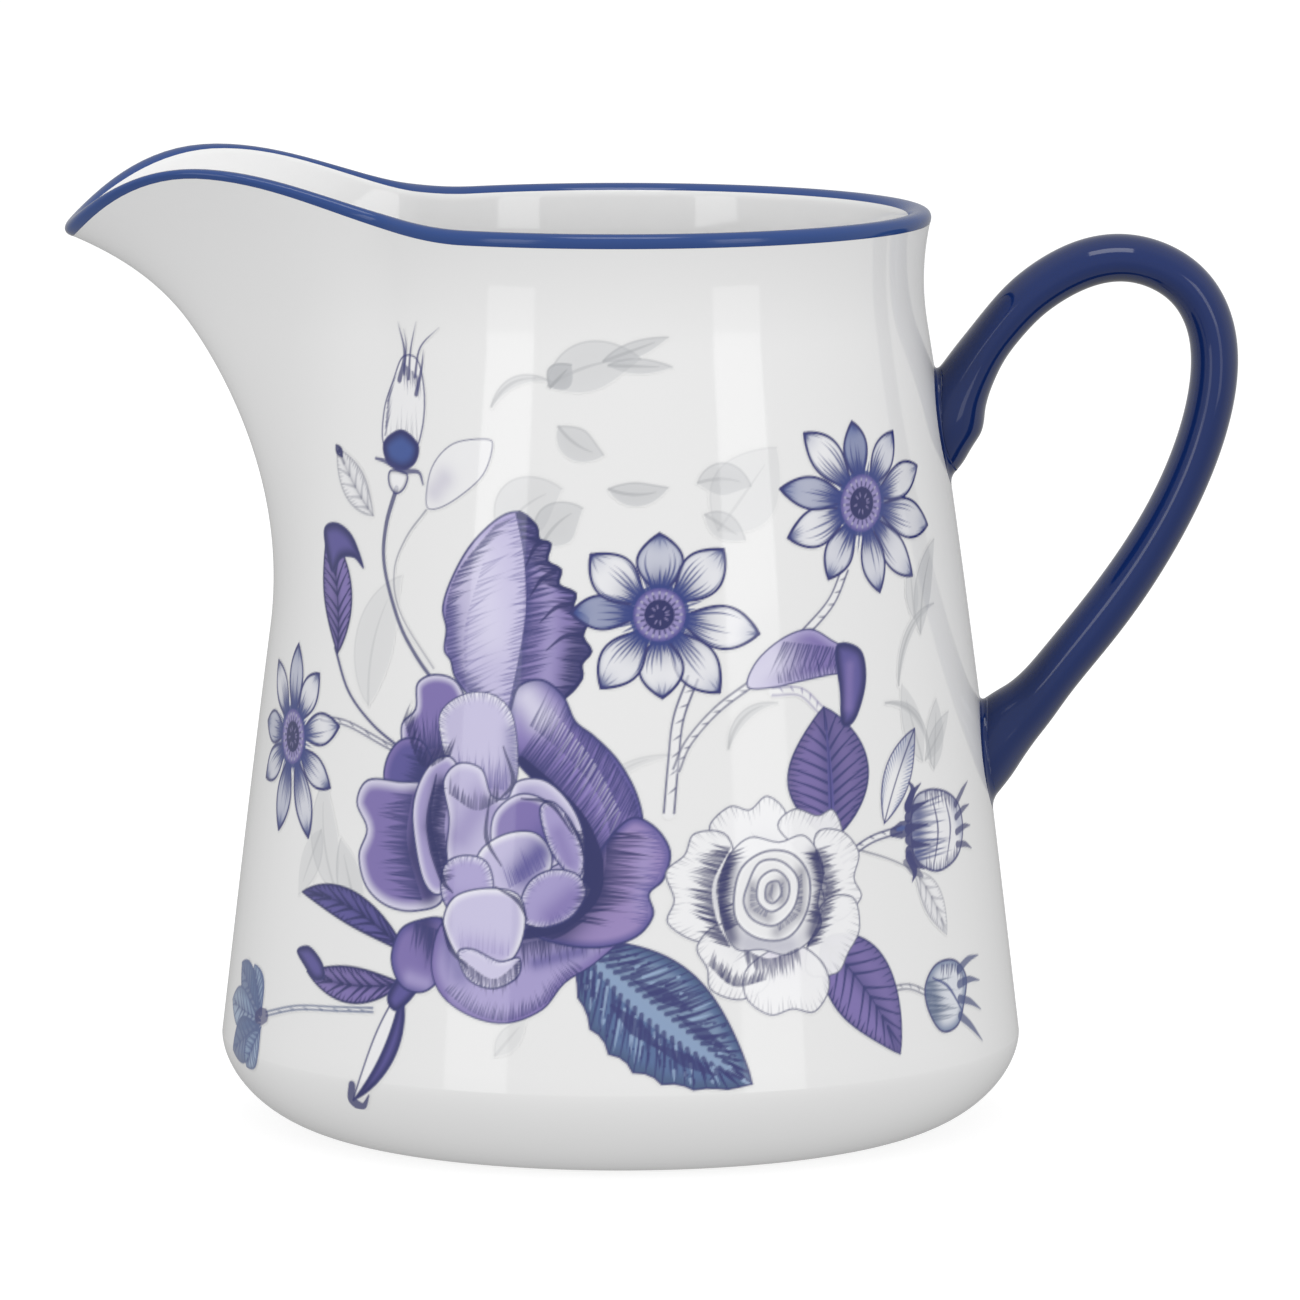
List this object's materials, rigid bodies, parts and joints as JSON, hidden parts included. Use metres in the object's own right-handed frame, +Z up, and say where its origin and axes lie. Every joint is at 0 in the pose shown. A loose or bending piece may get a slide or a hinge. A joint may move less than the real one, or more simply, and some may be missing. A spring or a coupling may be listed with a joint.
{
  "type": "porcelain cream jug",
  "caption": "Small tapered porcelain jug with a drawn beak spout, a looped cobalt handle, a blue rim band and a blue and purple flower print.",
  "frame": {"origin": "middle of the jug's length and width, on the surface it stands on", "axes": "+Z up, -X along the spout, +X along the handle, the front print faces -Y"},
  "size_m": [0.1155, 0.0786, 0.095],
  "materials": {
    "white_glazed_porcelain": "clear gloss glaze over white porcelain",
    "blue_rim_enamel": "gloss blue enamel, a little thinner over the lip",
    "cobalt_glaze": "deep gloss cobalt glaze",
    "cobalt_glaze_slip": "gloss glaze pooled over the slip joint",
    "floral_print": "in-glaze blue and purple print under gloss"
  },
  "bodies": {
    "root": {"body": "white_glazed_porcelain", "rim_band": "blue_rim_enamel", "handle": "cobalt_glaze", "upper_luting_joint": "cobalt_glaze_slip", "lower_luting_joint": "cobalt_glaze_slip", "floral_transfer_front": "floral_print", "floral_transfer_back": "floral_print"}
  },
  "joints": []
}
